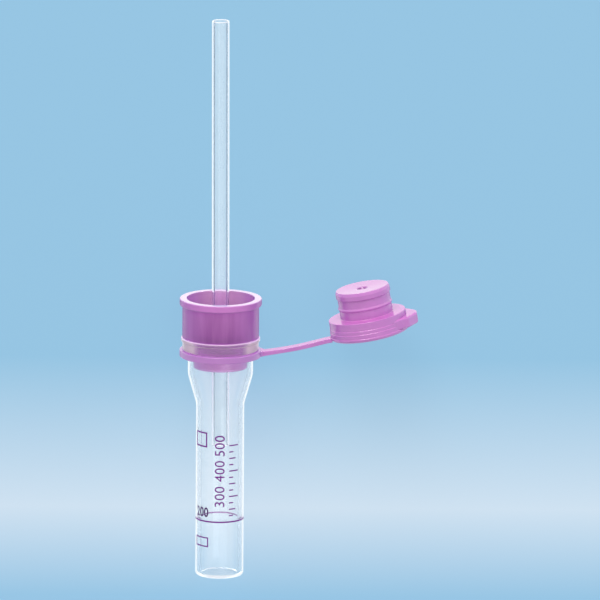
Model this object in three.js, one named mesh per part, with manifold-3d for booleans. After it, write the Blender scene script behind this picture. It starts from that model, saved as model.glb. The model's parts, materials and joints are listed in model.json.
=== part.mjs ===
// A capillary blood collection tube with its capillary holder in the mouth and its tethered stopper open,
// lying on its side on the edge of its base, on its widest ring and on the edge of the stopper's flange.
// Lengths are millimetres and angles are degrees. Each piece is drawn about the tube's own axis, with that
// axis along +Z, the outside of the base at z = 0 and the stopper on the +X side. The last part of this file
// lays the whole of it down, with the tube's mouth towards +Y and +Z up.

import * as THREE from "three";
import { mergeVertices } from "three/addons/utils/BufferGeometryUtils.js";
import Module from "manifold-3d";

const wasm = await Module();
wasm.setup();

// ---- driving sizes ----

const tube = {
  bodyRadius: 3.6, // outside of the slim body
  wall: 0.75,
  floor: 1.0, // thickness of the closed base
  baseEdge: 0.5, // rounding of the base's outer edge
  floorCorner: 0.7, // rounding inside, between floor and wall
  bodyTop: 26.4, // where the shoulder begins
  shoulder: 4.5, // length of the shoulder
  neckRadius: 4.88,
  neckHeight: 3.83, // from the shoulder's top to the underside of the collar
  collarRadius: 5.72,
  collarHeight: 1.85,
  beadStand: 0.2, // how far the bead at the mouth stands out from the collar
  beadHeight: 0.6,
};

const stopper = {
  plugRadius: 3.96,
  plugLength: 4.23,
  beadStand: 0.16, // how far the two sealing beads stand out from the plug
  lowerBead: 1.55, // from the flange to the lower bead's crest
  lowerBeadHeight: 0.55,
  upperBeadHeight: 1.0, // the upper bead ends at the tip's lead-in
  leadIn: 0.45, // height of the slope at the plug's tip
  tipDish: 0.35, // depth of the hollow in the plug's tip
  gateRadius: 0.85, // shallow recess in the middle of the hollow
  gateDepth: 0.22,
  coreRadius: 3.1, // the plug is hollow, open at the stopper's outer face
  tipWall: 0.9, // what the hollow leaves at the plug's tip
  coreEdge: 0.5, // rounding at the bottom of the hollow
  flangeRadius: 5.82, // at the plug's side
  flangeHeight: 2.97,
  flangeStep: 0.06, // each of the three steps widens the flange by this
  stepHeights: [0.5, 1.17, 1.72], // above the outer face
  flangeEdge: 0.4, // rounding of the outer face's edge
  tabReach: 7.42, // from the stopper's axis to the end of the thumb tab
  tabHalfWidths: [3.85, 3.1, 0.9], // at its root, at its shoulders and at its end
  tabShoulder: 6.1, // from the stopper's axis to the tab's shoulders
  tabThickness: 1.65,
  tabLift: 0.5, // of the tab's underside above the stopper's outer face
  tabCorner: 0.9,
  tabEdge: 0.3,
  tilt: 10.5, // at rest, the far side up
};

const capillary = {
  radius: 1.305,
  bore: 0.99,
  length: 65,
  tip: 20, // height of its lower end above the outside of the base
  endEdge: 0.1, // rounding of the fire-polished ends
};

const holder = {
  cupRadius: 5.76,
  cupWall: 0.67,
  cupHeight: 5.93,
  cupFloor: 0.8,
  floorCorner: 0.4, // rounding inside, between floor and wall
  rimRadius: 6.17,
  rimHeight: 1.1,
  rimEdge: 0.35,
  mouthEdge: 0.25, // rounding inside the rim
  stemLength: 4.68, // how far the plug reaches into the neck
  stemEdge: 0.4,
  hubRadius: 3.0,
  hubDrop: 1.4, // from the rim's top down to the hub's top
  hubEdge: 0.3,
};

const ring = {
  wall: 1.2, // from the ring's bore to its outside
  height: 1.0,
  edge: 0.2,
  lugStand: 0.2, // how far the strap's root stands out from the ring
  lugHalfWidth: 1.3,
};

const strap = {
  width: 1.85,
  thickness: 0.56,
  endLink: 3.65, // hinge to hinge, first and last link
  middleLink: 2.2,
  rise: [9.0, 11.7, 14.2], // slope of each link at rest
  rootLug: 0.15, // how far the strap's end stands out from the stopper's flange
  drop: 0.18, // of the strap's underside below the stopper's outer face
};

const fit = {
  plug: 0.06, // radial, stopper bead in the bore
  stem: 0.12, // radial, holder plug in the bore
  capillary: 0.03, // radial, capillary in the holder
  ring: 0.07, // radial, ring round the neck
  seat: 0.05, // between faces that rest on each other
  hinge: 0.1, // between the rounded end of a link and the end before it
};

const ROUND_SIDES = 48;
const THIN_SIDES = 24;
const ARC_STEP = 45; // degrees of an edge rounding for each short face
const SMALL_EDGE = 0.15; // rounding of the edges that have no size of their own

// ---- helpers ----

const radians = (degrees) => (degrees * Math.PI) / 180;

// A profile whose corners are [radius, height, rounding], with each rounding drawn as an arc.
function roundedProfile(corners) {
  const at = (i) => new THREE.Vector2(...corners[(i + corners.length) % corners.length].slice(0, 2));
  return corners.flatMap(([, , rounding = 0], i) => {
    const corner = at(i);
    if (!rounding) return [corner];
    const back = at(i - 1).sub(corner).normalize();
    const ahead = at(i + 1).sub(corner).normalize();
    const half = Math.acos(THREE.MathUtils.clamp(back.dot(ahead), -1, 1)) / 2;
    const middle = back.clone().add(ahead).normalize();
    const centre = corner.clone().addScaledVector(middle, rounding / Math.sin(half));
    const first = corner.clone().addScaledVector(back, rounding / Math.tan(half)).sub(centre);
    const turn = (Math.PI - 2 * half) * Math.sign(back.y * ahead.x - back.x * ahead.y);
    const steps = Math.max(1, Math.round(Math.abs(turn) / radians(ARC_STEP)));
    return Array.from({ length: steps + 1 }, (_, k) =>
      first.clone().rotateAround(new THREE.Vector2(), (turn * k) / steps).add(centre),
    );
  });
}

// A turned solid about +Z. A hollow profile is closed by repeating its first corner.
function turned(corners, { sides = ROUND_SIDES, hollow = false } = {}) {
  const profile = roundedProfile(corners);
  if (hollow) profile.push(profile[0].clone());
  return new THREE.LatheGeometry(profile, sides).rotateX(Math.PI / 2);
}

// A flat outline in the XZ plane, as thick as width and centred on y = 0.
function slab(outline, width) {
  const made = new THREE.ExtrudeGeometry(outline, { depth: width, bevelEnabled: false, curveSegments: 8 });
  return made.translate(0, 0, -width / 2).rotateX(Math.PI / 2);
}

function solid(geometry) {
  const bare = geometry.clone();
  bare.deleteAttribute("normal");
  bare.deleteAttribute("uv");
  const merged = mergeVertices(bare, 1e-4);
  return new wasm.Manifold(
    new wasm.Mesh({
      numProp: 3,
      vertProperties: merged.attributes.position.array,
      triVerts: new Uint32Array(merged.index.array),
    }),
  );
}

function geometryOf(made) {
  const { vertProperties, triVerts } = made.getMesh();
  const geometry = new THREE.BufferGeometry()
    .setAttribute("position", new THREE.BufferAttribute(vertProperties, 3))
    .setIndex(new THREE.BufferAttribute(triVerts, 1));
  geometry.computeVertexNormals();
  return geometry;
}

function piece(name, geometry, material) {
  const mesh = new THREE.Mesh(geometry, material);
  mesh.name = name;
  return mesh;
}

// ---- materials ----

const clearPlastic = new THREE.MeshStandardMaterial({
  color: 0xe6f0f6, roughness: 0.12, metalness: 0, transparent: true, opacity: 0.35,
});
const clearCapillary = new THREE.MeshStandardMaterial({
  color: 0xf2f7fa, roughness: 0.08, metalness: 0, transparent: true, opacity: 0.4,
});
const violetPlastic = new THREE.MeshStandardMaterial({ color: 0x9c5ba4, roughness: 0.3, metalness: 0 });
const lavenderPlastic = new THREE.MeshStandardMaterial({ color: 0xc482c9, roughness: 0.35, metalness: 0 });

// ---- sizes that follow from the others ----

const boreRadius = stopper.plugRadius + stopper.beadStand + fit.plug;
const bodyBore = tube.bodyRadius - tube.wall;
const shoulderTop = tube.bodyTop + tube.shoulder;
const neckTop = shoulderTop + tube.neckHeight; // underside of the collar
const mouth = neckTop + tube.collarHeight;
const shoulderBend = 3; // rounding of the shoulder's two bends

const cupBottom = mouth + fit.seat;
const gripRadius = capillary.radius + fit.capillary;

const ringBore = tube.neckRadius + fit.ring;
const ringRadius = ringBore + ring.wall;
const ringTop = neckTop - fit.seat;
const ringMiddle = ringTop - ring.height / 2;
const linkEnd = strap.thickness / 2; // radius of a link's rounded end
const hingeReach = linkEnd + fit.hinge; // from a flat end to the hinge axis in front of it

const baseRadius = stopper.flangeRadius + 3 * stopper.flangeStep;
const stopperHinge = new THREE.Vector2(-(baseRadius + strap.rootLug + hingeReach), linkEnd - strap.drop);

// The thumb tab starts inside the flange's wall, outside its hollow.
const tabRoot = (stopper.coreRadius + stopper.flangeRadius) / 2;

// ---- pieces, each about its own axis ----

function sampleTube() {
  const { collarRadius, beadStand, beadHeight, neckRadius, bodyRadius, bodyTop, floor } = tube;
  const beadRadius = collarRadius + beadStand;
  return turned([
    [0, 0],
    [bodyRadius, 0, tube.baseEdge],
    [bodyRadius, bodyTop, shoulderBend],
    [neckRadius, shoulderTop, shoulderBend],
    [neckRadius, neckTop],
    [collarRadius, neckTop],
    [collarRadius, mouth - beadHeight],
    [beadRadius, mouth - beadHeight, SMALL_EDGE],
    [beadRadius, mouth, SMALL_EDGE],
    [boreRadius, mouth, SMALL_EDGE],
    [boreRadius, shoulderTop, shoulderBend],
    [bodyBore, bodyTop, shoulderBend],
    [bodyBore, floor, tube.floorCorner],
    [0, floor],
  ]);
}

function capillaryTube() {
  const { radius, bore, length, endEdge } = capillary;
  return turned(
    [
      [bore, 0, endEdge],
      [radius, 0, endEdge],
      [radius, length, endEdge],
      [bore, length, endEdge],
    ],
    { sides: THIN_SIDES, hollow: true },
  );
}

// The cup, its plug and its hub, with z = 0 at the face that rests on the tube's mouth.
function capillaryHolder() {
  const { cupRadius, cupWall, cupHeight, cupFloor, rimRadius, rimHeight, hubRadius } = holder;
  const stemRadius = boreRadius - fit.stem;
  const innerRadius = cupRadius - cupWall;
  return turned(
    [
      [gripRadius, -holder.stemLength],
      [stemRadius, -holder.stemLength, holder.stemEdge],
      [stemRadius, 0],
      [cupRadius, 0, SMALL_EDGE],
      [cupRadius, cupHeight - rimHeight],
      [rimRadius, cupHeight - rimHeight, holder.rimEdge],
      [rimRadius, cupHeight, holder.rimEdge],
      [innerRadius, cupHeight, holder.mouthEdge],
      [innerRadius, cupFloor, holder.floorCorner],
      [hubRadius, cupFloor],
      [hubRadius, cupHeight - holder.hubDrop, holder.hubEdge],
      [gripRadius, cupHeight - holder.hubDrop],
    ],
    { hollow: true },
  );
}

// The ring round the neck, with the strap's root on its +X side and z = 0 at its middle.
function tetherRing() {
  const half = ring.height / 2;
  const band = turned(
    [
      [ringBore, -half],
      [ringRadius, -half, ring.edge],
      [ringRadius, half, ring.edge],
      [ringBore, half],
    ],
    { hollow: true },
  );
  const inside = (ringBore + ringRadius) / 2;
  const face = ringRadius + ring.lugStand;
  const lug = new THREE.Shape()
    .moveTo(inside, -half + ring.edge)
    .lineTo(face, -linkEnd)
    .lineTo(face, linkEnd)
    .lineTo(inside, half - ring.edge);
  return geometryOf(solid(band).add(solid(slab(lug, 2 * ring.lugHalfWidth))));
}

// One link of the strap along +X: its rounded end is centred on its own hinge at the origin, and its flat end
// stops short of the next hinge.
function strapLink(length) {
  const outline = new THREE.Shape()
    .moveTo(0, -linkEnd)
    .lineTo(length - hingeReach, -linkEnd)
    .lineTo(length - hingeReach, linkEnd)
    .lineTo(0, linkEnd)
    .absarc(0, 0, linkEnd, Math.PI / 2, (3 * Math.PI) / 2, false);
  return slab(outline, strap.width);
}

// The stopper with its outer face at z = 0, its plug up, the thumb tab on +X and the strap's end on -X.
function stopperCap() {
  const body = turned(stopperProfile());
  const end = stopperHinge.x + hingeReach;
  const start = stopper.flangeEdge - baseRadius;
  const strapEnd = slab(
    new THREE.Shape()
      .moveTo(end, stopperHinge.y - linkEnd)
      .lineTo(start, stopperHinge.y - linkEnd)
      .lineTo(start, stopperHinge.y + linkEnd)
      .lineTo(end, stopperHinge.y + linkEnd),
    strap.width,
  );
  return geometryOf(solid(body).add(solid(thumbTab())).add(solid(strapEnd)));
}

function stopperProfile() {
  const { flangeRadius, flangeHeight, flangeStep, stepHeights, plugRadius, beadStand, coreRadius } = stopper;
  const tip = flangeHeight + stopper.plugLength;
  const dish = tip - stopper.tipDish;
  const core = dish - stopper.gateDepth - stopper.tipWall;
  const beadRadius = plugRadius + beadStand;
  const upperBeadTop = tip - stopper.leadIn;
  const upperBeadFoot = upperBeadTop - stopper.upperBeadHeight;
  const lowerCrest = flangeHeight + stopper.lowerBead;
  const steps = stepHeights.flatMap((height, i) => [
    [baseRadius - i * flangeStep, height],
    [baseRadius - (i + 1) * flangeStep, height],
  ]);
  return [
    [0, core],
    [coreRadius, core, stopper.coreEdge],
    [coreRadius, 0],
    [baseRadius, 0, stopper.flangeEdge],
    ...steps,
    [flangeRadius, flangeHeight, SMALL_EDGE],
    [plugRadius, flangeHeight, SMALL_EDGE],
    [plugRadius, lowerCrest - stopper.lowerBeadHeight / 2],
    [beadRadius, lowerCrest],
    [plugRadius, lowerCrest + stopper.lowerBeadHeight / 2],
    [plugRadius, upperBeadFoot],
    [beadRadius, upperBeadFoot + beadStand],
    [beadRadius, upperBeadTop],
    [plugRadius, tip, SMALL_EDGE],
    [stopper.gateRadius, dish],
    [stopper.gateRadius - stopper.gateDepth, dish - stopper.gateDepth],
    [0, dish - stopper.gateDepth],
  ];
}

function thumbTab() {
  const { tabReach, tabShoulder, tabHalfWidths, tabCorner, tabEdge } = stopper;
  const [atRoot, atShoulder, atEnd] = tabHalfWidths;
  const outline = roundedProfile([
    [tabRoot, -atRoot],
    [tabShoulder, -atShoulder, tabCorner],
    [tabReach, -atEnd, tabCorner],
    [tabReach, atEnd, tabCorner],
    [tabShoulder, atShoulder, tabCorner],
    [tabRoot, atRoot],
  ]);
  return new THREE.ExtrudeGeometry(new THREE.Shape(outline), {
    depth: stopper.tabThickness - 2 * tabEdge,
    bevelThickness: tabEdge,
    bevelSize: tabEdge,
    bevelOffset: -tabEdge,
    bevelSegments: 2,
  }).translate(0, 0, stopper.tabLift + tabEdge);
}

// ---- assembly about the tube's axis ----

const assembly = new THREE.Group();

assembly.add(piece("sample_tube", sampleTube(), clearPlastic));

const holderMesh = piece("capillary_holder", capillaryHolder(), violetPlastic);
holderMesh.position.z = cupBottom;
assembly.add(holderMesh);

const capillaryMesh = piece("capillary", capillaryTube(), clearCapillary);
capillaryMesh.position.z = capillary.tip;
assembly.add(capillaryMesh);

// The ring, the strap's links and the stopper are a chain: each link's group sits at the hinge that ends the
// link before it, and turns by its own slope.
const tether = new THREE.Group();
assembly.add(tether);

const ringMesh = piece("tether_ring", tetherRing(), lavenderPlastic);
ringMesh.position.z = ringMiddle;
tether.add(ringMesh);

const hinge = new THREE.Vector3(ringRadius + ring.lugStand + hingeReach, 0, ringMiddle);
const links = [
  ["strap_inner", strap.endLink],
  ["strap_middle", strap.middleLink],
  ["strap_outer", strap.endLink],
];
links.forEach(([name, length], i) => {
  const link = piece(name, strapLink(length), lavenderPlastic);
  const slope = radians(strap.rise[i]);
  link.position.copy(hinge);
  link.rotation.y = -slope;
  tether.add(link);
  hinge.x += length * Math.cos(slope);
  hinge.z += length * Math.sin(slope);
});

const cap = piece("stopper_cap", stopperCap(), lavenderPlastic);
cap.rotation.y = -radians(stopper.tilt);
const capHinge = new THREE.Vector3(stopperHinge.x, 0, stopperHinge.y).applyEuler(cap.rotation);
cap.position.copy(hinge).sub(capHinge);
tether.add(cap);

// ---- lying down ----

// The tube rests on the edge of its base and on whichever of its wide rings comes down first. Each edge is a
// circle in the plane through the axis: its height along the axis, its distance from it, and its rounding.
const baseContact = { along: tube.baseEdge, out: tube.bodyRadius - tube.baseEdge, rounding: tube.baseEdge };
const rings = [
  { along: ringMiddle - ring.height / 2 + ring.edge, out: ringRadius - ring.edge, rounding: ring.edge },
  { along: mouth, out: tube.collarRadius + tube.beadStand, rounding: 0 },
  {
    along: cupBottom + holder.cupHeight - holder.rimHeight + holder.rimEdge,
    out: holder.rimRadius - holder.rimEdge,
    rounding: holder.rimEdge,
  },
];
const restAngles = rings.map(({ along, out, rounding }) => {
  const run = along - baseContact.along;
  const climb = out - baseContact.out;
  return Math.atan2(climb, run) + Math.asin((rounding - baseContact.rounding) / Math.hypot(run, climb));
});
const restAngle = Math.max(...restAngles);

// The tether then turns round the neck until the edge of the stopper's flange is down too.
const axisHeight = (along) => {
  const climb = (along - baseContact.along) * Math.sin(restAngle);
  return baseContact.out * Math.cos(restAngle) + baseContact.rounding + climb;
};
const flangeMiddle = new THREE.Vector3(0, 0, stopper.stepHeights[0] / 2)
  .applyEuler(cap.rotation)
  .add(cap.position);
const drop = axisHeight(flangeMiddle.z) - baseRadius * Math.cos(restAngle);
tether.rotation.z = Math.asin(drop / (flangeMiddle.x * Math.cos(restAngle)));

assembly.rotation.x = restAngle - Math.PI / 2;

// The origin is under the middle of the whole, on the surface that it lies on.
const part = new THREE.Group();
part.add(assembly);
const box = new THREE.Box3().setFromObject(part, true);
const middle = box.getCenter(new THREE.Vector3());
assembly.position.set(-middle.x, -middle.y, -box.min.z);

export default part;
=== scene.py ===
import json
import math

import bmesh
import bpy
from mathutils import Matrix, Vector


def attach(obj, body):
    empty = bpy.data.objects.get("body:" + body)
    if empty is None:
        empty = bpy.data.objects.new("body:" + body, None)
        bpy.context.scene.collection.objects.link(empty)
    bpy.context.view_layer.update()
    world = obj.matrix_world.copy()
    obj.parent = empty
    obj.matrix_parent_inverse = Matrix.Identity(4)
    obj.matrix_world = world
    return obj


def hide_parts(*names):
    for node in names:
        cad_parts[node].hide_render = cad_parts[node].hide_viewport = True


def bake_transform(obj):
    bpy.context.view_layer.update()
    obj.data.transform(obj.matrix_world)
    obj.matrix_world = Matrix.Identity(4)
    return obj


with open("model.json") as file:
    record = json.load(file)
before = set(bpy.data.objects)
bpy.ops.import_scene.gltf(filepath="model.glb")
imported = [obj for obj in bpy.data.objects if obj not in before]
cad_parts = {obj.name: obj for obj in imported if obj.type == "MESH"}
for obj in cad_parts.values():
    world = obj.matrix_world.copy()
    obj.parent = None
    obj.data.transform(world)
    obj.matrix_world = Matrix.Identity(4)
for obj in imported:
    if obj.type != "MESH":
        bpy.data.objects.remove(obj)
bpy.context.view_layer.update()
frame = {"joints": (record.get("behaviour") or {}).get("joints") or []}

# A capillary blood collection tube with its holder, capillary and tethered stopper, lying on a pale floor.
# Sizes are millimetres in each piece's own frame, +Z along its axis; place() brings them to the row frame.
# An outline is a list of corners (x, y, rounding), and a corner that gives no rounding takes SHARPEST.

MM = 0.001
ROUND_SIDES = 144
THIN_SIDES = 72
ARC_STEP = 11.25  # degrees of an edge rounding for each short face
SLAB_STEPS = 4  # short faces in the rounding of a slab's long edges
SHARPEST = 0.03  # rounding of the edges that look sharp
TINY = 1e-6
SEAT = 0.05  # play between the holder, the collar and the ring

tube = {
    "body_radius": 3.6,
    "wall": 0.75,
    "floor": 0.35,
    "base_edge": 0.5,
    "floor_corner": 0.25,
    "body_top": 26.4,
    "shoulder": 4.5,
    "shoulder_bend": 3.0,
    "neck_radius": 4.88,
    "neck_height": 3.83,
    "collar_radius": 5.72,
    "collar_height": 1.85,
    "bead_stand": 0.2,
    "bead_height": 0.6,
    "bore_radius": 4.18,
    "gate_radius": 0.7,
    "gate_slope": 0.1,
    "gate_depth": 0.12,
}

capillary = {
    "radius": 1.305,
    "bore": 0.99,
    "length": 65.0,
    "tip": 20.0,  # of its lower end above the tube's foot
    "end_edge": 0.1,
    "lean": 0.29,  # degrees, about the middle of the mouth
}

holder = {
    "cup_radius": 5.76,
    "cup_wall": 0.67,
    "cup_height": 5.93,
    "cup_floor": 0.8,
    "floor_corner": 0.4,
    "rim_radius": 6.17,
    "rim_height": 1.1,
    "rim_edge": 0.18,
    "rim_foot": 0.24,
    "mouth_edge": 0.1,
    "stem_radius": 4.06,
    "stem_length": 4.68,
    "stem_edge": 0.4,
    "hub_radius": 3.0,
    "hub_drop": 1.9,
    "hub_edge": 0.3,
    "grip_radius": 1.335,
}

ring = {
    "radius": 6.15,
    "bore": 4.95,
    "height": 1.0,
    "edge": 0.12,
    "lug_face": 6.35,
    "lug_half_width": 1.3,
}

strap = {
    "width": 1.85,
    "thickness": 0.56,
    "edge": 0.07,
    "drop": 0.18,  # of its outer face beyond the stopper's
    "hinge_reach": 0.38,  # from the stopper's flat end to the hinge axis in front of it
    "in_lug": 0.25,
    "in_flange": 0.35,
    "root_spans": 1.6,  # how far the root's flare reaches, in spans between bends
    "root_wider": 0.6,
    "root_thicker": 0.3,
    "tip_thicker": 0.06,
}

stopper = {
    "plug_radius": 3.96,
    "plug_length": 4.23,
    "bead_stand": 0.16,
    "lower_bead": 1.55,
    "lower_bead_height": 0.55,
    "upper_bead_height": 0.8,
    "lead_in": 0.45,
    "tip_dish": 0.15,
    "gate_radius": 0.85,
    "gate_slope": 0.15,
    "gate_depth": 0.22,
    "nub_radius": 0.2,
    "nub_slope": 0.1,
    "nub_drop": 0.1,
    "core_radius": 3.1,
    "tip_wall": 0.9,
    "core_edge": 0.5,
    "flange_radius": 5.82,
    "base_radius": 6.0,
    "flange_height": 2.97,
    "flange_step": 0.06,
    "step_heights": (0.5, 1.17, 1.72),
    "flange_edge": 0.4,
    "tab_reach": 7.42,
    "tab_half_width": 0.9,  # at its end
    "tab_shoulder": (6.1, 3.1),  # from the axis, and half the width there
    "tab_fillet": (5.15, 3.53, 4.0),  # the corner that its fillet rounds
    "tab_root": ((3.36, 4.74, 0.1), (3.1, 4.0, 0.1)),  # corners inside the flange
    "tab_thickness": 1.65,
    "tab_lift": 0.5,
    "tab_corner": 0.9,
    "tab_edge": 0.3,
    "tilt": 10.5,  # degrees from the tube's axis
    "strap_end": 6.15,
}

# ---- places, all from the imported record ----

joints = {joint["name"]: joint for joint in frame["joints"]}
tube_axis = Vector(joints["holder_pull"]["axis"]).normalized()
ring_centre = Vector(joints["ring_turn"]["pos_m"])
bend_axis = Vector(joints["stopper_bend"]["axis"]).normalized()
BENDS = ("strap_root_bend", "strap_inner_bend", "strap_outer_bend", "stopper_bend")
hinges = [Vector(joints[name]["pos_m"]) for name in BENDS]


def place(origin, along, across):
    """The matrix from millimetres in a piece's own frame, +Z along and +Y across, to the row frame."""
    z = along.normalized()
    y = (across - across.dot(z) * z).normalized()
    turn = Matrix((y.cross(z), y, z)).transposed().to_4x4()
    return Matrix.Translation(origin) @ turn @ Matrix.Scale(MM, 4)


shoulder_top = tube["body_top"] + tube["shoulder"]
neck_top = shoulder_top + tube["neck_height"]
mouth = neck_top + tube["collar_height"]
ring_middle = neck_top - SEAT - ring["height"] / 2

tube_place = place(ring_centre - tube_axis * ring_middle * MM, tube_axis, tube_axis.cross(Vector((1, 0, 0))))
ring_place = place(ring_centre, tube_axis, -bend_axis)
stopper_axis = Matrix.Rotation(math.radians(stopper["tilt"]), 3, bend_axis) @ tube_axis
stopper_turn = place(Vector(), stopper_axis, -bend_axis)
strap_level = strap["thickness"] / 2 - strap["drop"]
stopper_hinge = Vector((-stopper["strap_end"] - strap["hinge_reach"], 0, strap_level))
stopper_place = Matrix.Translation(hinges[3] - stopper_turn @ stopper_hinge) @ stopper_turn
holder_place = tube_place @ Matrix.Translation((0, 0, mouth + SEAT))
capillary_lean = Matrix.Rotation(math.radians(-capillary["lean"]), 4, "Y")
capillary_place = (
    tube_place @ Matrix.Translation((0, 0, mouth)) @ capillary_lean
    @ Matrix.Translation((0, 0, capillary["tip"] - mouth))
)


# ---- mesh helpers ----


def rounded(corners, closed=False):
    """Points and outward normals of an outline of (x, y, rounding), with the solid on its left."""
    made = []
    count = len(corners)
    for i, (x, y, *rounding) in enumerate(corners):
        here = Vector((x, y))
        if not closed and i in (0, count - 1):
            other = Vector(corners[1 if i == 0 else count - 2][:2])
            run = (other - here if i == 0 else here - other).normalized()
            made.append((here, Vector((run.y, -run.x))))
            continue
        back = (Vector(corners[i - 1][:2]) - here).normalized()
        ahead = (Vector(corners[(i + 1) % count][:2]) - here).normalized()
        half = math.acos(max(-1.0, min(1.0, back.dot(ahead)))) / 2
        radius = rounding[0] if rounding else SHARPEST
        start = here + back * (radius / math.tan(half))
        first = Vector((-back.y, back.x))
        side = 1 if -back.x * ahead.y + back.y * ahead.x > 0 else -1
        centre = start - first * radius * side
        turn = (math.pi - 2 * half) * side
        steps = max(2, round(abs(turn) / math.radians(ARC_STEP)))
        for k in range(steps + 1):
            angle = turn * k / steps
            normal = Vector(
                (
                    first.x * math.cos(angle) - first.y * math.sin(angle),
                    first.x * math.sin(angle) + first.y * math.cos(angle),
                )
            )
            made.append((centre + normal * radius * side, normal))
    return made


def turned(profile, sides, closed=False):
    """Vertices, faces and normals of a profile of (radius, height, rounding) turned about +Z."""
    outline = rounded(profile, closed)
    vertices, normals, rows = [], [], []
    for point, normal in outline:
        if point.x < TINY:
            rows.append([len(vertices)] * sides)
            vertices.append(Vector((0, 0, point.y)))
            normals.append(Vector((0, 0, math.copysign(1, normal.y))))
            continue
        rows.append(range(len(vertices), len(vertices) + sides))
        for k in range(sides):
            angle = 2 * math.pi * k / sides
            c, s = math.cos(angle), math.sin(angle)
            vertices.append(Vector((point.x * c, point.x * s, point.y)))
            normals.append(Vector((normal.x * c, normal.x * s, normal.y)))
    faces = []
    for i in range(len(rows) if closed else len(rows) - 1):
        low, high = rows[i], rows[(i + 1) % len(rows)]
        for k in range(sides):
            n = (k + 1) % sides
            face = [low[k], low[n], high[n], high[k]]
            faces.append([v for at, v in enumerate(face) if v not in face[:at]])
    return vertices, faces, normals


def rounded_slab(outline, bottom, top, edge):
    """An outline of (x, y, rounding) with its long edges rounded, from z = bottom up to z = top."""
    around = rounded(outline, closed=True)
    vertices, normals, rows = [], [], []
    for level, start in ((bottom + edge, -90), (top - edge, 0)):
        for k in range(SLAB_STEPS + 1):
            tilt = math.radians(start + 90 * k / SLAB_STEPS)
            out, up = math.cos(tilt), math.sin(tilt)
            rows.append(range(len(vertices), len(vertices) + len(around)))
            for point, normal in around:
                flat = point + normal * edge * (out - 1)
                vertices.append(Vector((flat.x, flat.y, level + edge * up)))
                normals.append(Vector((normal.x * out, normal.y * out, up)))
    return vertices, skin(rows), normals


def skin(rows):
    """The faces between rows of vertices that go round a solid, and the two faces that close its ends."""
    faces = []
    for low, high in zip(rows, rows[1:]):
        for k in range(len(low)):
            n = (k + 1) % len(low)
            faces.append([low[k], low[n], high[n], high[k]])
    return faces + [list(reversed(rows[0])), list(rows[-1])]


def merged(*parts):
    """Several (vertices, faces, normals) as one."""
    vertices, faces, normals = [], [], []
    for part in parts:
        first = len(vertices)
        vertices += part[0]
        normals += part[2]
        faces += [[first + v for v in face] for face in part[1]]
    return vertices, faces, normals


def piece(name, part, where, material, body=None, replaces=()):
    """A Blender object of (vertices, faces, normals), put in the row frame by the matrix where.

    body is the body that it rides on, and replaces names the CAD nodes that it stands for.
    """
    vertices, faces, normals = part
    turn = where.to_3x3().normalized()
    mesh = bpy.data.meshes.new(name)
    mesh.from_pydata([where @ v for v in vertices], [], faces)
    mesh.shade_smooth()
    mesh.normals_split_custom_set_from_vertices([turn @ n for n in normals])
    mesh.materials.append(material)
    made = bpy.data.objects.new(name, mesh)
    bpy.context.scene.collection.objects.link(made)
    if body:
        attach(made, body)
    if replaces:
        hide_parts(*replaces)
    return made


# ---- materials ----

CAUGHT = 5  # bounces after which a ray inside clear plastic goes straight on
CLEAR_IOR = 1.49
SHADOW_OF_CLEAR = (0.95, 0.97, 0.98, 1)
SHADOW_OF_VIOLET = (0.8, 0.55, 0.82, 1)

# Where the finishes and the painted light and shade change. A pair is a range, from where a change starts to
# where it is full, or a band.
# Millimetres below the tube's mouth.
LIP = (0.2, 0.12)
HAZE_LINE = (0.62, 0.5)
HAZE_LINE_SOFT = 0.08
COLLAR_SOFT = 0.02  # on both sides of the collar's lower end
# Millimetres above the tube's foot, and from its axis.
FOOT_GLOSS = (0.5, 0.7)
FOOT_EDGE = (3.3, 3.4)
# Millimetres above the capillary's lower end, or below its upper end.
IN_TUBE = (11.3, 11.4)
LOWER_CUT = (0.1, 0.25)
UPPER_CUT = (0.12, 0.08)
# Millimetres inside the capillary's outer face, and above the holder's rim.
CAPILLARY_SKIN = (0.12, 0.06)
# Where the capillary's painted pink light from the holder ends, above the rim.
BY_CUP = 1.2
BY_CUP_SOFT = 0.1  # on both sides of it
# Millimetres beyond the cup's wall, from the holder's axis, and below its rim.
RIM_BAND = (0.15, 0.3)
CUP_WALL = (5.2, 5.6)
RIM_TOP = (0.3, 0.2)
# Millimetres above the stem's lower end, above the tube's neck, and below the cup's foot.
# The stem's lower end gets a painted highlight.
STEM_TIP = (0.25, 0.5)
# The painted shade on the stem inside the collar comes in over this height.
STEM_SHADE = 0.2
CUP_FOOT = 0.1
# Millimetres from the stopper's axis, and above its outer face.
# Where the painted shade of the gate's pit lies, and where the plug's end begins.
GATE_PIT_SHADE = (0.42, 0.78)
GATE_PIT_SHADE_SOFT = 0.08
PLUG_END = (4, 5)
# Shares of edge_on().
COLLAR_SIDES = (0.18, 0.32)
# Where the capillary's painted dark line lies.
PAINTED_DARK_LINE = (0.27, 0.36)
PAINTED_DARK_LINE_SOFT = 0.02
WHITE_EDGES = (0.42, 0.56)
TUBE_EDGES = (0.64, 0.76)
VIOLET_SHEEN = (0.05, 0.4)
SOFT_OUTLINE = (0.68, 0.82)


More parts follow.
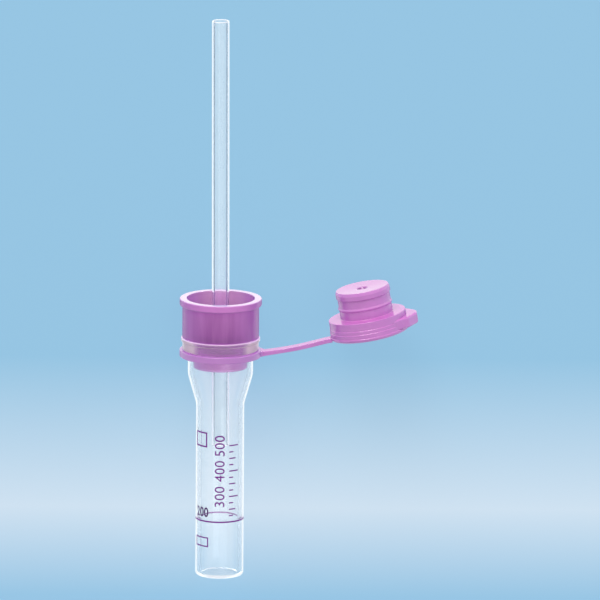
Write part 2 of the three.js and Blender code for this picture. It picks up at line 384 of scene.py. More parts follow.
class Nodes:
    """A new material and short ways to add its nodes."""

    def __init__(self, name):
        self.material = bpy.data.materials.new(name)
        self.material.use_nodes = True
        self.tree = self.material.node_tree
        self.tree.nodes.clear()

    def add(self, kind, links=None, **settings):
        """A node of that kind. links gives each input a value, or the output that it is joined to."""
        node = self.tree.nodes.new(kind)
        for key, value in settings.items():
            setattr(node, key, value)
        for socket, value in (links or {}).items():
            target = node.inputs[socket]
            if isinstance(value, bpy.types.NodeSocket):
                self.tree.links.new(value, target)
            else:
                target.default_value = value
        return node

    def calc(self, operation, first, second):
        """The result of a Math node."""
        return self.add("ShaderNodeMath", {0: first, 1: second}, operation=operation).outputs[0]

    def times(self, first, second):
        return self.calc("MULTIPLY", first, second)

    def larger(self, first, second):
        return self.calc("MAXIMUM", first, second)

    def spread(self, value, low, high, ends=(0.3, 0.7)):
        """low where the value is at its first end or before, high where it is at its second end or past."""
        links = {"Value": value, "From Min": ends[0], "From Max": ends[1], "To Min": low, "To Max": high}
        return self.add("ShaderNodeMapRange", links).outputs[0]

    def along(self, length, start, end, low=0.0, high=1.0):
        """low up to start and high past end, both in millimetres of a length in metres."""
        return self.spread(length, low, high, ends=(start * MM, end * MM))

    def flipped(self, share):
        """1 for a share of 0, and 0 for a share of 1."""
        return self.spread(share, 1.0, 0.0, ends=(0, 1))

    def band(self, value, low, high, soft):
        """1 between low and high, falling to 0 over soft on both sides."""
        rise = self.spread(value, 0.0, 1.0, ends=(low - soft, low))
        return self.times(rise, self.spread(value, 1.0, 0.0, ends=(high, high + soft)))

    def noise(self, scale, detail=3.0, stretch=(1, 1, 1), shift=0.0):
        """Noise over the piece, with scale in features a millimetre. shift is in millimetres along X."""
        where = self.add("ShaderNodeTexCoord").outputs["Object"]
        if stretch != (1, 1, 1):
            links = {"Vector": where, "Location": (shift * MM, 0, 0), "Scale": stretch}
            where = self.add("ShaderNodeMapping", links).outputs[0]
        links = {"Vector": where, "Scale": scale / MM, "Detail": detail}
        return self.add("ShaderNodeTexNoise", links).outputs["Fac"]

    def vector(self, operation, first, second, output=0):
        """The result of a Vector Math node, from its output of that name or number."""
        node = self.add("ShaderNodeVectorMath", {0: first, 1: second}, operation=operation)
        return node.outputs[output]

    def about(self, placed):
        """Metres from the axis of a turned piece that is placed so, and metres above its foot."""
        where = self.add("ShaderNodeTexCoord").outputs["Object"]
        axis = (placed.to_3x3() @ Vector((0, 0, 1))).normalized()
        rise = self.vector("SUBTRACT", where, tuple(placed.translation))
        side = self.vector("CROSS_PRODUCT", rise, axis)
        away = self.add("ShaderNodeVectorMath", {0: side}, operation="LENGTH").outputs["Value"]
        return away, self.vector("DOT_PRODUCT", rise, axis, "Value")

    def facing_mouth(self, low, high):
        """1 where the surface faces the way that the tube's mouth does, 0 elsewhere."""
        normal = self.add("ShaderNodeNewGeometry").outputs["Normal"]
        cosine = self.vector("DOT_PRODUCT", normal, tube_axis, "Value")
        return self.spread(cosine, 0.0, 1.0, ends=(low, high))

    def edge_on(self):
        """0 where the surface is seen face on, 1 where it is seen edge on."""
        return self.add("ShaderNodeLayerWeight", {"Blend": 0.5}).outputs["Facing"]

    def blend_colour(self, share, first, second):
        """first where the share is 0, second where it is 1."""
        return self.add("ShaderNodeMix", {0: share, 6: first, 7: second}, data_type="RGBA").outputs[2]

    def blend_shader(self, share, first, second):
        """first where the share is 0, second where it is 1."""
        return self.add("ShaderNodeMixShader", {0: share, 1: first, 2: second}).outputs[0]

    def bump(self, height, strength, distance):
        """A bumped normal, with distance in millimetres."""
        links = {"Height": height, "Strength": strength, "Distance": distance * MM}
        return self.add("ShaderNodeBump", links).outputs[0]

    def soft_outline(self, shader, tone, keep):
        """The shader with the white sheen of its outline dulled, except for the share keep."""
        outline = self.spread(self.edge_on(), 0.0, 0.8, ends=SOFT_OUTLINE)
        outline = self.times(outline, self.calc("SUBTRACT", 1.0, keep))
        matt = self.add("ShaderNodeBsdfDiffuse", {"Color": tone}).outputs[0]
        return self.blend_shader(outline, shader, matt)

    def shine_through(self, shader, tint):
        """The shader, but lamps and caught rays pass it as through clear plastic of that tint."""
        ray = self.add("ShaderNodeLightPath").outputs
        caught = self.calc("GREATER_THAN", ray["Ray Depth"], CAUGHT)
        clear = self.add("ShaderNodeBsdfTransparent", {"Color": tint}).outputs[0]
        return self.blend_shader(self.larger(ray["Is Shadow Ray"], caught), shader, clear)

    def finish(self, shader):
        """The material, with that shader as its surface."""
        self.add("ShaderNodeOutputMaterial", {"Surface": shader})
        return self.material


def linear(value):
    """The linear share of a 0 to 255 value of a screen."""
    share = value / 255
    return share / 12.92 if share <= 0.04045 else ((share + 0.055) / 1.055) ** 2.4


def colour(red, green, blue):
    """A linear colour from the 0 to 255 values of a screen."""
    return (linear(red), linear(green), linear(blue), 1)


def clear_plastic(name, roughness, tint, edge, look):
    """Clear moulded plastic with slow ripples along the melt's flow, and gloss where it is seen edge on.

    edge is where the gloss starts and is full, in shares of edge_on(). look takes the Nodes and the tint, and
    gives a share of haze, a share of gloss, the gloss of the edges, a tint and a haze colour over the piece.
    """
    n = Nodes(name)
    ripple = n.noise(0.35, 2.0, stretch=(1, 0.12, 1))
    haze, gloss, edge_gloss, tint, haze_colour = look(n, tint)
    shader = n.add(
        "ShaderNodeBsdfPrincipled",
        {
            "Base Color": tint,
            "Roughness": n.spread(n.noise(1.6, 4.0), roughness * 0.7, roughness * 1.5),
            "IOR": CLEAR_IOR,
            "Transmission Weight": 0.97,
            "Normal": n.bump(ripple, 0.1, 0.004),
        },
    ).outputs[0]
    cloudy = n.add("ShaderNodeBsdfDiffuse", {"Color": haze_colour}).outputs[0]
    shader = n.blend_shader(haze, shader, cloudy)
    seen = n.times(n.spread(n.edge_on(), 0.0, 1.0, ends=edge), edge_gloss)
    shiny = n.add("ShaderNodeBsdfGlossy", {"Color": (0.8, 0.84, 0.88, 1), "Roughness": 0.05}).outputs[0]
    shader = n.blend_shader(n.larger(gloss, seen), shader, shiny)
    return n.finish(n.shine_through(shader, SHADOW_OF_CLEAR))


def tube_look(n, tint):
    """A frosted collar that lets the violet through, with violet light from the holder's stem painted into
    its haze and tint, a painted highlight of pale haze on the lip, and gloss round the base's edge.
    """
    away, height = n.about(tube_place)
    lip = n.along(height, mouth - LIP[0], mouth - LIP[1])
    collar = n.along(height, neck_top - COLLAR_SOFT, neck_top + COLLAR_SOFT)

    foot = n.times(n.along(height, *FOOT_GLOSS, low=0.8, high=0.0), n.along(away, *FOOT_EDGE))
    far_side = n.add("ShaderNodeNewGeometry").outputs["Backfacing"]
    foot = n.times(foot, n.flipped(far_side))

    line_low, line_high = ((mouth - below) * MM for below in HAZE_LINE)
    line = n.band(height, line_low, line_high, HAZE_LINE_SOFT * MM)
    # Painted light: the collar's haze is violet in the middle, where the holder's stem stands behind it, and
    # paler towards its outline.
    sides = n.spread(n.edge_on(), 0.26, 0.75, ends=COLLAR_SIDES)
    frost = n.times(collar, n.larger(sides, n.times(line, 0.4)))
    # Painted highlight: a band of pale haze on the lip.
    haze = n.larger(frost, n.times(lip, 0.55))

    # Painted light: the pink tint in the collar stands in for violet light from the holder's stem.
    tint = n.blend_colour(collar, tint, (0.98, 0.74, 0.93, 1))
    at_side = n.spread(n.edge_on(), 0.0, 1.0, ends=COLLAR_SIDES)
    frost_and_painted_violet = n.blend_colour(at_side, colour(196, 156, 206), colour(220, 200, 208))
    haze_colour = n.blend_colour(lip, frost_and_painted_violet, colour(240, 214, 240))
    return haze, foot, n.spread(collar, 0.8, 0.25, ends=(0, 1)), tint, haze_colour


def capillary_look(n, tint):
    """A painted dark line along each side of the thick wall, for the shade of refraction there, fainter by
    the cup, and white ends. In and just above the holder a pink tint is painted violet light from it.

    Inside the tube its edges are white with haze, a painted highlight, and outside it with gloss.
    """
    away, height = n.about(capillary_place)
    radius, length = capillary["radius"], capillary["length"]
    outside = n.along(away, radius - CAPILLARY_SKIN[0], radius - CAPILLARY_SKIN[1])
    in_tube = n.along(height, *IN_TUBE, low=1.0, high=0.0)
    cup_top = mouth + SEAT + holder["cup_height"] - capillary["tip"] + BY_CUP
    by_cup = n.along(height, cup_top - BY_CUP_SOFT, cup_top + BY_CUP_SOFT, low=1.0, high=0.0)
    by_cup = n.calc("SUBTRACT", by_cup, in_tube)

    # Painted shade: a dark line along each side of the wall, for the shade of refraction there.
    line = n.times(n.band(n.edge_on(), *PAINTED_DARK_LINE, PAINTED_DARK_LINE_SOFT), outside)
    line = n.times(line, n.spread(by_cup, 1.0, 0.3, ends=(0, 1)))
    # Painted light: in the holder and just above its rim the capillary is tinted pink, for the violet light
    # round it.
    tint = n.blend_colour(by_cup, tint, (1.0, 0.92, 1.0, 1))
    tint = n.blend_colour(line, tint, (0.42, 0.38, 0.42, 1))

    upper_cut = n.along(height, length - UPPER_CUT[0], length - UPPER_CUT[1], high=0.6)
    lower_cut = n.along(height, *LOWER_CUT, low=0.5, high=0.0)
    # Painted highlight: inside the tube the outline is white haze.
    edges = n.times(n.spread(n.edge_on(), 0.0, 0.7, ends=WHITE_EDGES), outside)
    haze = n.larger(n.larger(upper_cut, lower_cut), n.times(edges, in_tube))
    return haze, 0.0, n.spread(in_tube, 0.8, 0.0, ends=(0, 1)), tint, colour(250, 246, 252)


def violet_plastic(name):
    """Translucent violet plastic, with painted shade towards the cup's foot and on the stem inside the tube's
    collar.

    Painted light makes the inside of the cup and the stem's lower end lighter, a painted sheen lightens its
    outline, and a painted highlight lightens the rim's coated top.
    """
    n = Nodes(name)
    grain = n.noise(9.0, 3.0)
    cloud = n.spread(n.noise(0.8, 3.0, stretch=(1, 0.06, 1), shift=-2.2), 0.0, 1.0)
    away, height = n.about(tube_place)
    foot = mouth + SEAT
    rim = foot + holder["cup_height"]
    stem_tip = foot - holder["stem_length"]

    # Painted shade: the outside is darker towards the cup's foot, over the thick floor and stem, and lighter
    # towards the rim.
    shaded_foot_tone = n.blend_colour(cloud, colour(145, 83, 154), colour(166, 103, 173))
    light = n.blend_colour(cloud, colour(180, 113, 184), colour(203, 136, 206))
    outside = n.blend_colour(n.along(height, foot, rim), shaded_foot_tone, light)
    beyond_wall = n.along(away, holder["cup_radius"] + RIM_BAND[0], holder["cup_radius"] + RIM_BAND[1])
    outside = n.blend_colour(beyond_wall, outside, colour(214, 140, 214))
    # Painted light: the inside of the cup is lighter and pinker, for light that comes through its walls.
    inner = n.blend_colour(cloud, colour(214, 168, 204), colour(224, 182, 212))
    cup = n.blend_colour(n.along(away, *CUP_WALL), inner, outside)

    stem = n.blend_colour(cloud, colour(196, 122, 194), colour(203, 130, 200))
    # Painted shade: the stem is much darker inside the tube's collar, under the cup.
    stem = n.blend_colour(n.along(height, neck_top, neck_top + STEM_SHADE), stem, colour(112, 52, 126))
    # Painted highlight: the stem's lower end is lighter.
    stem_tip_highlight = n.along(height, stem_tip + STEM_TIP[0], stem_tip + STEM_TIP[1], low=1.0, high=0.0)
    stem = n.blend_colour(stem_tip_highlight, stem, colour(228, 176, 228))

    tone = n.blend_colour(n.along(height, foot - CUP_FOOT, foot), stem, cup)
    # Painted sheen: the violet is lighter towards its outline.
    tone = n.blend_colour(n.spread(n.edge_on(), 0.0, 0.6, ends=VIOLET_SHEEN), tone, colour(192, 126, 200))
    # The rim's top gets a real coat, and its lighter colour there is a painted highlight.
    rim_top = n.along(height, rim - RIM_TOP[0], rim - RIM_TOP[1])
    coat_and_painted_highlight = n.times(n.facing_mouth(0.5, 0.9), rim_top)
    shader = n.add(
        "ShaderNodeBsdfPrincipled",
        {
            "Base Color": n.blend_colour(coat_and_painted_highlight, tone, colour(222, 176, 224)),
            "Roughness": n.spread(grain, 0.07, 0.12),
            "IOR": 1.25,
            "Transmission Weight": 0.2,
            "Coat Weight": coat_and_painted_highlight,
            "Coat IOR": 1.8,
            "Coat Roughness": 0.03,
            "Normal": n.bump(grain, 0.05, 0.006),
        },
    ).outputs[0]
    shader = n.soft_outline(shader, colour(172, 122, 188), coat_and_painted_highlight)
    return n.finish(n.shine_through(shader, SHADOW_OF_VIOLET))


def lavender_plastic(name, low, high, top, crown=None):
    """Satin lavender polyethylene, a little lighter where the melt met.

    top is a colour of its own for its upward faces, painted for how the light falls on them. crown is a
    lighter colour painted on the plug's end, with painted shade in a ring round the gate's nub.
    """
    n = Nodes(name)
    grain = n.noise(7.0, 4.0)
    cloud = n.spread(n.noise(0.4, 4.0), 0.0, 1.0)
    upper = n.facing_mouth(0.3, 0.9)
    if crown:
        away, height = n.about(stopper_place)
        # Painted shade: a dark ring in the pit round the gate's nub.
        mark = n.band(away, GATE_PIT_SHADE[0] * MM, GATE_PIT_SHADE[1] * MM, GATE_PIT_SHADE_SOFT * MM)
        crown = n.blend_colour(mark, crown, colour(118, 58, 122))
        # Painted light: the plug's end gets a lighter colour of its own.
        top = n.blend_colour(n.along(height, *PLUG_END), top, crown)
    # Painted light and shade: the upward faces get a colour of their own, set for how the light falls on
    # them.
    tone = n.blend_colour(upper, n.blend_colour(cloud, low, high), top)
    shader = n.add(
        "ShaderNodeBsdfPrincipled",
        {
            "Base Color": tone,
            "Roughness": n.spread(grain, 0.06, 0.11),
            "IOR": 1.5,
            "Subsurface Weight": 0.12,
            "Subsurface Radius": (1.0, 0.5, 1.0),
            "Subsurface Scale": 0.4 * MM,
            "Normal": n.bump(grain, 0.08, 0.01),
        },
    ).outputs[0]
    return n.finish(n.soft_outline(shader, tone, upper))


def print_ink(name, low, high):
    """Thin violet print, mottled between two colours."""
    n = Nodes(name)
    speckle = n.spread(n.noise(12.0, 3.0), 0.0, 1.0)
    tone = n.blend_colour(speckle, low, high)
    roughness = n.spread(speckle, 0.4, 0.6, ends=(0, 1))
    links = {"Base Color": tone, "Roughness": roughness, "IOR": 1.25}
    return n.finish(n.add("ShaderNodeBsdfPrincipled", links).outputs[0])


clear_tube = clear_plastic("clear_tube", 0.03, (0.995, 0.998, 1, 1), TUBE_EDGES, tube_look)
clear_capillary = clear_plastic("clear_capillary", 0.02, (0.96, 0.98, 0.99, 1), WHITE_EDGES, capillary_look)
violet_holder = violet_plastic("violet_holder")
# The stopper's upward faces take a darker, more saturated tone, painted to offset the light that falls on
# them.
lavender_stopper = lavender_plastic(
    "lavender_stopper", colour(195, 123, 200), colour(204, 132, 207), colour(200, 114, 191),
    # The crown is painted light on the plug's end.
    crown=colour(206, 140, 196),
)
# The ring's upward face is darker: painted shade under the tube's collar.
lavender_ring = lavender_plastic(
    "lavender_ring", colour(187, 127, 200), colour(195, 135, 207), colour(176, 118, 186)
)
ink = print_ink("print_ink", colour(106, 14, 128), colour(136, 30, 154))
dark_ink = print_ink("print_ink_dark", colour(58, 14, 82), colour(88, 28, 108))

# ---- tube, capillary and holder ----

bead_radius = tube["collar_radius"] + tube["bead_stand"]
body_bore = tube["body_radius"] - tube["wall"]
tube_profile = [
    (0, tube["gate_depth"]),
    (tube["gate_radius"], tube["gate_depth"], 0.05),
    (tube["gate_radius"] + tube["gate_slope"], 0, 0.05),
    (tube["body_radius"], 0, tube["base_edge"]),
    (tube["body_radius"], tube["body_top"], tube["shoulder_bend"]),
    (tube["neck_radius"], shoulder_top, tube["shoulder_bend"]),
    (tube["neck_radius"], neck_top, 0.08),
    (tube["collar_radius"], neck_top, 0.1),
    (tube["collar_radius"], mouth - tube["bead_height"], 0.06),
    (bead_radius, mouth - tube["bead_height"], 0.15),
    (bead_radius, mouth, 0.15),
    (tube["bore_radius"], mouth, 0.15),
    (tube["bore_radius"], shoulder_top, tube["shoulder_bend"]),
    (body_bore, tube["body_top"], tube["shoulder_bend"]),
    (body_bore, tube["floor"], tube["floor_corner"]),
    (0, tube["floor"]),
]
piece(
    "clear_tube", turned(tube_profile, ROUND_SIDES), tube_place, clear_tube, "tube",
    ["sample_tube"],
)

capillary_profile = [
    (capillary["bore"], 0, capillary["end_edge"]),
    (capillary["radius"], 0, capillary["end_edge"]),
    (capillary["radius"], capillary["length"], capillary["end_edge"]),
    (capillary["bore"], capillary["length"], capillary["end_edge"]),
]
piece(
    "clear_capillary", turned(capillary_profile, THIN_SIDES, closed=True), capillary_place,
    clear_capillary, "holder", ["capillary"],
)

inner_radius = holder["cup_radius"] - holder["cup_wall"]
hub_top = holder["cup_height"] - holder["hub_drop"]
holder_profile = [
    (holder["grip_radius"], -holder["stem_length"], 0.1),
    (holder["stem_radius"], -holder["stem_length"], holder["stem_edge"]),
    (holder["stem_radius"], 0, 0.05),
    (holder["cup_radius"], 0, 0.15),
    (holder["cup_radius"], holder["cup_height"] - holder["rim_height"], 0.16),
    (holder["rim_radius"], holder["cup_height"] - holder["rim_height"], holder["rim_foot"]),
    (holder["rim_radius"], holder["cup_height"], holder["rim_edge"]),
    (inner_radius, holder["cup_height"], holder["mouth_edge"]),
    (inner_radius, holder["cup_floor"], holder["floor_corner"]),
    (holder["hub_radius"], holder["cup_floor"], 0.1),
    (holder["hub_radius"], hub_top, holder["hub_edge"]),
    (holder["grip_radius"], hub_top, 0.1),
]
piece(
    "violet_holder", turned(holder_profile, ROUND_SIDES, closed=True), holder_place,
    violet_holder, "holder", ["capillary_holder"],
)

# ---- ring, strap and stopper ----

half = ring["height"] / 2
band = turned(
    [
        (ring["bore"], -half, 0.08),
        (ring["radius"], -half, ring["edge"]),
        (ring["radius"], half, ring["edge"]),
        (ring["bore"], half, 0.08),
    ],
    ROUND_SIDES,
    closed=True,
)
lug_root = (ring["bore"] + ring["radius"]) / 2
lug = rounded_slab(
    [
        (lug_root, -ring["lug_half_width"], 0.1),
        (ring["lug_face"], -ring["lug_half_width"], 0.3),
        (ring["lug_face"], ring["lug_half_width"], 0.3),
        (lug_root, ring["lug_half_width"], 0.1),
    ],
    -half + ring["edge"], half - ring["edge"], ring["edge"],
)
piece(
    "tether_ring_band", merged(band, lug), ring_place, lavender_ring, "ring",
    ["tether_ring"],
)

tip = stopper["flange_height"] + stopper["plug_length"]
dish = tip - stopper["tip_dish"]
gate_floor = dish - stopper["gate_depth"]
core = gate_floor - stopper["tip_wall"]
seal_radius = stopper["plug_radius"] + stopper["bead_stand"]
upper_top = tip - stopper["lead_in"]
upper_foot = upper_top - stopper["upper_bead_height"]
crest = stopper["flange_height"] + stopper["lower_bead"]
flange_steps = []
for i, height in enumerate(stopper["step_heights"]):
    outer = stopper["base_radius"] - i * stopper["flange_step"]
    flange_steps.append((outer, height, 0.04))
    flange_steps.append((outer - stopper["flange_step"], height + stopper["flange_step"], 0.04))
stopper_profile = [
    (0, core),
    (stopper["core_radius"], core, stopper["core_edge"]),
    (stopper["core_radius"], 0, 0.1),
    (stopper["base_radius"], 0, stopper["flange_edge"]),
    *flange_steps,
    (stopper["flange_radius"], stopper["flange_height"], 0.08),
    (stopper["plug_radius"], stopper["flange_height"], 0.1),
    (stopper["plug_radius"], crest - stopper["lower_bead_height"] / 2, 0.1),
    (seal_radius, crest, 0.15),
    (stopper["plug_radius"], crest + stopper["lower_bead_height"] / 2, 0.1),
    (stopper["plug_radius"], upper_foot, 0.1),
    (seal_radius, upper_foot + stopper["bead_stand"], 0.08),
    (seal_radius, upper_top, 0.15),
    (stopper["plug_radius"], tip, 0.07),
    (stopper["gate_radius"], dish, 0.05),
    (stopper["gate_radius"] - stopper["gate_slope"], gate_floor, 0.05),
    (stopper["nub_radius"] + stopper["nub_slope"], gate_floor, 0.03),
    (stopper["nub_radius"], dish - stopper["nub_drop"], 0.06),
    (0, dish - stopper["nub_drop"]),
]
half_tab = [
    (stopper["tab_reach"], stopper["tab_half_width"], stopper["tab_corner"]),
    (*stopper["tab_shoulder"], stopper["tab_corner"]),
    stopper["tab_fillet"],
    *stopper["tab_root"],
]
tab = rounded_slab(
    half_tab + [(x, -y, rounding) for x, y, rounding in reversed(half_tab)],
    stopper["tab_lift"], stopper["tab_lift"] + stopper["tab_thickness"], stopper["tab_edge"],
)
piece(
    "stopper", merged(turned(stopper_profile, ROUND_SIDES), tab), stopper_place, lavender_stopper,
    "stopper", ["stopper_cap"],
)

# The strap is one smooth band through its four bends. It is cut half way along each link.

lug_point = ring_place @ Vector((ring["lug_face"] - strap["in_lug"], 0, 0))
flange_point = stopper_place @ Vector((-stopper["strap_end"] + strap["in_flange"], 0, strap_level))
STRAP_POINTS = [lug_point, *hinges, flange_point]
STRAP_SPANS = len(STRAP_POINTS) - 1
STRAP_STEPS = 28  # sections along each length


def strap_path(share):
    """Centre and direction of the strap in the row frame, share from 0 at the ring to 1 at the stopper.

    A cubic curve joins each point to the next. At each point its slope follows the points on both sides.
    """
    at = share * STRAP_SPANS
    i = min(int(at), STRAP_SPANS - 1)
    u = at - i
    points = [STRAP_POINTS[max(0, min(STRAP_SPANS, i + k))] for k in (-1, 0, 1, 2)]
    knots = [0.0]
    for a, b in zip(points, points[1:]):
        knots.append(knots[-1] + max((b - a).length, TINY))
    span = knots[2] - knots[1]
    before = (points[2] - points[0]) / (knots[2] - knots[0]) * span
    after = (points[3] - points[1]) / (knots[3] - knots[1]) * span
    a, b = points[1], points[2]
    centre = (
        a * (2 * u**3 - 3 * u**2 + 1)
        + before * (u**3 - 2 * u**2 + u)
        + b * (3 * u**2 - 2 * u**3)
        + after * (u**3 - u**2)
    )
    slope = (
        a * (6 * u**2 - 6 * u)
        + before * (3 * u**2 - 4 * u + 1)
        + b * (6 * u - 6 * u**2)
        + after * (3 * u**2 - 2 * u)
    )
    return centre, slope.normalized()


def strap_section(centre, along, width, thickness):
    """A rounded rectangle across the strap: points and normals in the row frame."""
    across = -bend_axis
    up = along.cross(across).normalized()
    edge = strap["edge"]
    outline = rounded(
        [
            (-width / 2, -thickness / 2, edge),
            (width / 2, -thickness / 2, edge),
            (width / 2, thickness / 2, edge),
            (-width / 2, thickness / 2, edge),
        ],
        closed=True,
    )
    points = [centre + (across * p.x + up * p.y) * MM for p, n in outline]
    normals = [(across * n.x + up * n.y).normalized() for p, n in outline]
    return points, normals


def strap_length(name, first, last, replaces):
    """The strap between two shares of its path, as a closed band. It is wider and thicker at its root."""
    vertices, normals, rows = [], [], []
    for k in range(STRAP_STEPS + 1):
        share = first + (last - first) * k / STRAP_STEPS
        centre, along = strap_path(share)
        root = max(0.0, 1 - share * STRAP_SPANS / strap["root_spans"])
        width = strap["width"] + strap["root_wider"] * root**2
        thickness = strap["thickness"] + strap["root_thicker"] * root**1.5 + strap["tip_thicker"] * share
        points, around = strap_section(centre, along, width, thickness)
        rows.append(range(len(vertices), len(vertices) + len(points)))
        vertices += points
        normals += around
    made = piece(
        name, (vertices, skin(rows), normals), Matrix.Identity(4), lavender_stopper,
        None, replaces,
    )
    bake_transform(made)


strap_length("strap_root", 0.0, 0.3, ["strap_inner"])
strap_length("strap_first_half", 0.3, 0.5, ["strap_middle"])
strap_length("strap_second_half", 0.5, 0.7, [])
strap_length("strap_tip", 0.7, 1.0, ["strap_outer"])

# ---- print on the tube ----

# Flat shapes are (u, v): u millimetres round the body from the side that faces the camera, v the height.
INK_STAND = 0.003
INK_THICK = 0.012
INK_EDGE = 0.004
INK_PITCH = 0.15  # longest straight piece round the body
LINE = 0.22
THIN_LINE = 0.18
DIGIT_HEIGHT = 1.5
DIGIT_SPACING = 1.05
FILL_MARK = 8.8  # height of 200 microlitres
MARKED = 200
FILL_NUMBER_AT = (-2.98, FILL_MARK + 1.4)
UPPER_FRAME = (-4.5, -2.0, 20.2, 22.5)  # left, right, low and high
LOWER_FRAME = (-4.5, -1.75, 4.85, 6.35)
SCALE_NUMBERS = (300, 400, 500)
TICKS = range(225, 525, 25)
TICK_START = 1.45
LONG_TICK, MIDDLE_TICK, SHORT_TICK = 1.6, 1.1, 0.7
bore_area = math.pi * body_bore**2


def mark_height(microlitres):
    """The height that the volume reaches in the body's bore."""
    return FILL_MARK + (microlitres - MARKED) / bore_area


def flat_rectangle(left, right, low, high):
    """The corners and the one face of a filled rectangle."""
    return [(left, low), (right, low), (right, high), (left, high)], [(0, 1, 2, 3)]


def flat_frame(left, right, low, high, line):
    """An empty frame with a line of that width."""
    outer = flat_rectangle(left, right, low, high)[0]
    inner = flat_rectangle(left + line, right - line, low + line, high - line)[0]
    return outer + inner, [(k, (k + 1) % 4, (k + 1) % 4 + 4, k + 4) for k in range(4)]


def flat_number(text, height, centre, upright, narrow=1.0, weight=0.0):
    """A number with its middle at centre, level or reading up the tube.

    narrow is the share of its width that is kept, and weight is how far its strokes swell.
    """
    curve = bpy.data.curves.new("number", "FONT")
    curve.body = text
    curve.resolution_u = 5
    curve.space_character = DIGIT_SPACING
    curve.offset = weight
    written = bpy.data.objects.new("number", curve)
    bpy.context.scene.collection.objects.link(written)
    bpy.context.view_layer.update()
    shown = written.evaluated_get(bpy.context.evaluated_depsgraph_get())
    mesh = bpy.data.meshes.new_from_object(shown)
    bpy.data.objects.remove(written)
    points = [v.co.to_2d() for v in mesh.vertices]
    low = Vector((min(p.x for p in points), min(p.y for p in points)))
    high = Vector((max(p.x for p in points), max(p.y for p in points)))
    scale = height / (high.y - low.y)
    placed = []
    for point in points:
        x, y = (point - (low + high) / 2) * scale
        x *= narrow
        placed.append((centre[0] + x, centre[1] + y) if upright else (centre[0] - y, centre[1] + x))
    faces = [tuple(face.vertices) for face in mesh.polygons]
    bpy.data.meshes.remove(mesh)
    return placed, faces


def cut_sheet(shapes):
    """The flat shapes as one sheet of triangles, cut across u so that it can be bent round the body."""
    flat = bmesh.new()
    for points, faces in shapes:
        corners = [flat.verts.new((u, v, 0)) for u, v in points]
        for face in faces:
            flat.faces.new([corners[k] for k in face])
    bmesh.ops.remove_doubles(flat, verts=flat.verts, dist=1e-5)
    bmesh.ops.recalc_face_normals(flat, faces=flat.faces)
    left = min(v.co.x for v in flat.verts)
    right = max(v.co.x for v in flat.verts)
    for k in range(1, int((right - left) / INK_PITCH) + 1):
        everything = [*flat.verts, *flat.edges, *flat.faces]
        cut = (left + k * INK_PITCH, 0, 0)
        bmesh.ops.bisect_plane(flat, geom=everything, plane_co=cut, plane_no=(1, 0, 0))
    bmesh.ops.triangulate(flat, faces=flat.faces)
    flat.verts.ensure_lookup_table()
    flat.verts.index_update()
    sheet = [v.co.to_2d() for v in flat.verts]
    faces = []
    for face in flat.faces:
        face.normal_update()
        loop = [v.index for v in face.verts]
        faces.append(loop if face.normal.z > 0 else loop[::-1])
    flat.free()
    return sheet, faces


def ink_piece(name, shapes, material):
    """The flat shapes laid round the tube's body as one thin closed layer of ink."""
    sheet, faces = cut_sheet(shapes)
    vertices, normals = [], []
    for layer in (0, INK_THICK):
        radius = tube["body_radius"] + INK_STAND + layer
        for u, v in sheet:
            turn = u / tube["body_radius"]
            out = Vector((math.sin(turn), -math.cos(turn), 0))
            vertices.append(out * radius + Vector((0, 0, v)))
            normals.append(out if layer else -out)
    count = len(sheet)
    edges = {(a, b) for face in faces for a, b in zip(face, face[1:] + face[:1])}
    walls = [[a, b, b + count, a + count] for a, b in sorted(edges) if (b, a) not in edges]
    inner = [face[::-1] for face in faces]
    outer = [[k + count for k in face] for face in faces]
    piece(name, (vertices, inner + outer + walls, normals), tube_place, material, "tube")


ink_foot = tube["body_radius"] + INK_STAND
ink_top = ink_foot + INK_THICK
ring_line = turned(
    [
        (ink_foot, FILL_MARK - LINE / 2, INK_EDGE),
        (ink_top, FILL_MARK - LINE / 2, INK_EDGE),
        (ink_top, FILL_MARK + LINE / 2, INK_EDGE),
        (ink_foot, FILL_MARK + LINE / 2, INK_EDGE),
    ],
    ROUND_SIDES,
    closed=True,
)
piece("fill_mark", ring_line, tube_place, ink, "tube")
fill_number = flat_number(str(MARKED), DIGIT_HEIGHT, FILL_NUMBER_AT, True, narrow=0.8, weight=0.02)
ink_piece("fill_number", [fill_number], dark_ink)
ink_piece("upper_frame", [flat_frame(*UPPER_FRAME, LINE)], ink)
ink_piece("lower_frame", [flat_frame(*LOWER_FRAME, THIN_LINE)], ink)
numbers = []
for volume in SCALE_NUMBERS:
    numbers.append(flat_number(str(volume), DIGIT_HEIGHT, (0.0, mark_height(volume)), False))
ink_piece("scale_numbers", numbers, ink)
ticks = []
for volume in TICKS:
    reach = LONG_TICK if volume % 100 == 0 else MIDDLE_TICK if volume % 50 == 0 else SHORT_TICK
    level = mark_height(volume)
    ticks.append(
        flat_rectangle(TICK_START, TICK_START + reach, level - THIN_LINE / 2, level + THIN_LINE / 2)
    )
ink_piece("scale_marks", ticks, ink)

# ---- stage ----

FLOOR_HALF = 1.5  # m
FLOOR_BAND = (-46.2, -9.8)  # mm along the floor from one edge of its pale band to the other
BAND_PEAK = 0.37  # where the band is palest, as a share of its width
BEHIND_CLEAR = (-37, -20)  # mm along the floor over which it turns paler through clear plastic
PAPER_GLOW = 0.85  # share of the paper's colour that doesn't depend on the lamps
TABLE_GLOW = 1.25  # strength of the white that gloss sees


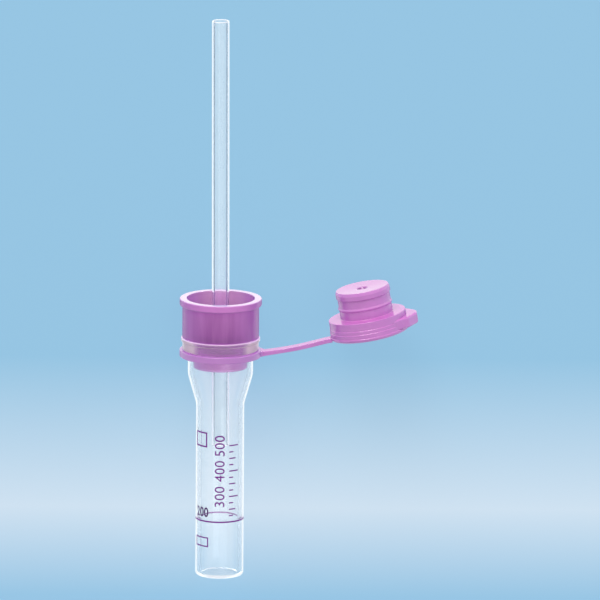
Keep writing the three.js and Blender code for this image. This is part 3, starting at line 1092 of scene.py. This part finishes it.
def floor_material():
    """Pale blue paper with a soft band, paler through clear plastic. Gloss sees a white light table."""
    n = Nodes("floor")
    where = n.add("ShaderNodeTexCoord").outputs["Object"]
    y = n.add("ShaderNodeSeparateXYZ", {0: where}).outputs["Y"]
    ramp = n.add("ShaderNodeValToRGB", {"Fac": n.along(y, *FLOOR_BAND)})
    stops = ramp.color_ramp.elements
    stops[0].position, stops[0].color = 0.0, colour(153, 199, 230)
    stops[1].position, stops[1].color = 1.0, colour(151, 198, 228)
    stops.new(BAND_PEAK).color = colour(208, 227, 243)
    paper = n.add("ShaderNodeBsdfDiffuse", {"Color": ramp.outputs[0]}).outputs[0]
    glow = n.add("ShaderNodeEmission", {"Color": ramp.outputs[0], "Strength": 1.0}).outputs[0]
    paper = n.blend_shader(PAPER_GLOW, paper, glow)
    ray = n.add("ShaderNodeLightPath").outputs
    white = n.add("ShaderNodeEmission", {"Color": (1, 1, 1, 1), "Strength": 1.0}).outputs[0]
    behind = n.times(ray["Is Transmission Ray"], n.along(y, *BEHIND_CLEAR, high=0.2))
    paper = n.blend_shader(behind, paper, white)
    table = n.add("ShaderNodeEmission", {"Color": (1, 1, 1, 1), "Strength": TABLE_GLOW}).outputs[0]
    mirrored = n.calc("GREATER_THAN", ray["Is Glossy Ray"], ray["Is Transmission Ray"])
    return n.finish(n.blend_shader(mirrored, paper, table))


floor_mesh = bpy.data.meshes.new("floor")
floor_corners = [(x * FLOOR_HALF, y * FLOOR_HALF, 0) for x, y in ((-1, -1), (1, -1), (1, 1), (-1, 1))]
floor_mesh.from_pydata(floor_corners, [], [(0, 1, 2, 3)])
floor_mesh.materials.append(floor_material())
floor = bpy.data.objects.new("floor", floor_mesh)
bpy.context.scene.collection.objects.link(floor)


def softbox(name, where, size, share, tone=(1, 1, 1), mirrored=True):
    """A square soft lamp aimed at the object, with where and size in metres.

    share is the part of a white surface's light that it gives. mirrored says whether gloss shows the lamp.
    """
    lamp = bpy.data.lights.new(name, "AREA")
    lamp.size = size
    lamp.energy = share * math.pi**2 * where.length_squared
    lamp.color = tone
    made = bpy.data.objects.new(name, lamp)
    made.location = where
    made.rotation_mode = "QUATERNION"
    made.rotation_quaternion = where.to_track_quat("Z", "Y")
    made.visible_glossy = mirrored
    bpy.context.scene.collection.objects.link(made)


softbox("key", Vector((-0.2, 0.95, 0.45)), 0.6, 0.78, tone=(1, 0.96, 0.92))
softbox("fill", Vector((0.4, -0.3, 0.9)), 0.6, 0.12, mirrored=False)
softbox("kicker", Vector((0.78, 0.6, 0.24)), 0.07, 0.12)

# The world is plain white, and stronger for what glossy and clear plastic show of it.
WORLD_LEVEL = 0.55
WORLD_SEEN = 1.0
world = bpy.data.worlds.new("studio")
world.use_nodes = True
sky = world.node_tree
ray = sky.nodes.new("ShaderNodeLightPath")
strength = sky.nodes.new("ShaderNodeMapRange")
strength.inputs["To Min"].default_value = WORLD_LEVEL
strength.inputs["To Max"].default_value = WORLD_SEEN
sky.links.new(ray.outputs["Is Glossy Ray"], strength.inputs["Value"])
sky.links.new(strength.outputs[0], sky.nodes["Background"].inputs["Strength"])
sky.nodes["Background"].inputs["Color"].default_value = (1, 1, 1, 1)
bpy.context.scene.world = world

# ---- camera, over the tube's mouth end with a long lens ----

VIEW_WIDTH = 90.0  # mm across the picture
DISTANCE = 3.0  # m
AIM = (11.88, 0, 42.3)  # mm in the tube's frame
DIP = 12.6  # degrees that the camera is turned from square on towards the mouth
ROLL = 0.38  # degrees
SENSOR = 36  # mm

middle = tube_place @ Vector(AIM)
across = tube_place.to_3x3().normalized() @ Vector((0, 1, 0))
dip = math.radians(DIP)
look_from = -across * math.cos(dip) + tube_axis * math.sin(dip)
right = tube_axis.cross(look_from).normalized()
up = look_from.cross(right).normalized()
camera_data = bpy.data.cameras.new("camera")
camera_data.sensor_width = SENSOR
camera_data.lens = SENSOR * DISTANCE / (VIEW_WIDTH * MM)
camera_data.clip_start = 0.1
camera_data.clip_end = 20
camera = bpy.data.objects.new("camera", camera_data)
camera_turn = Matrix((right, up, look_from)).transposed().to_4x4()
camera_roll = Matrix.Rotation(math.radians(ROLL), 4, "Z")
camera.matrix_world = Matrix.Translation(middle + look_from * DISTANCE) @ camera_turn @ camera_roll
bpy.context.scene.collection.objects.link(camera)
bpy.context.scene.camera = camera
bpy.context.scene.view_settings.view_transform = "Standard"
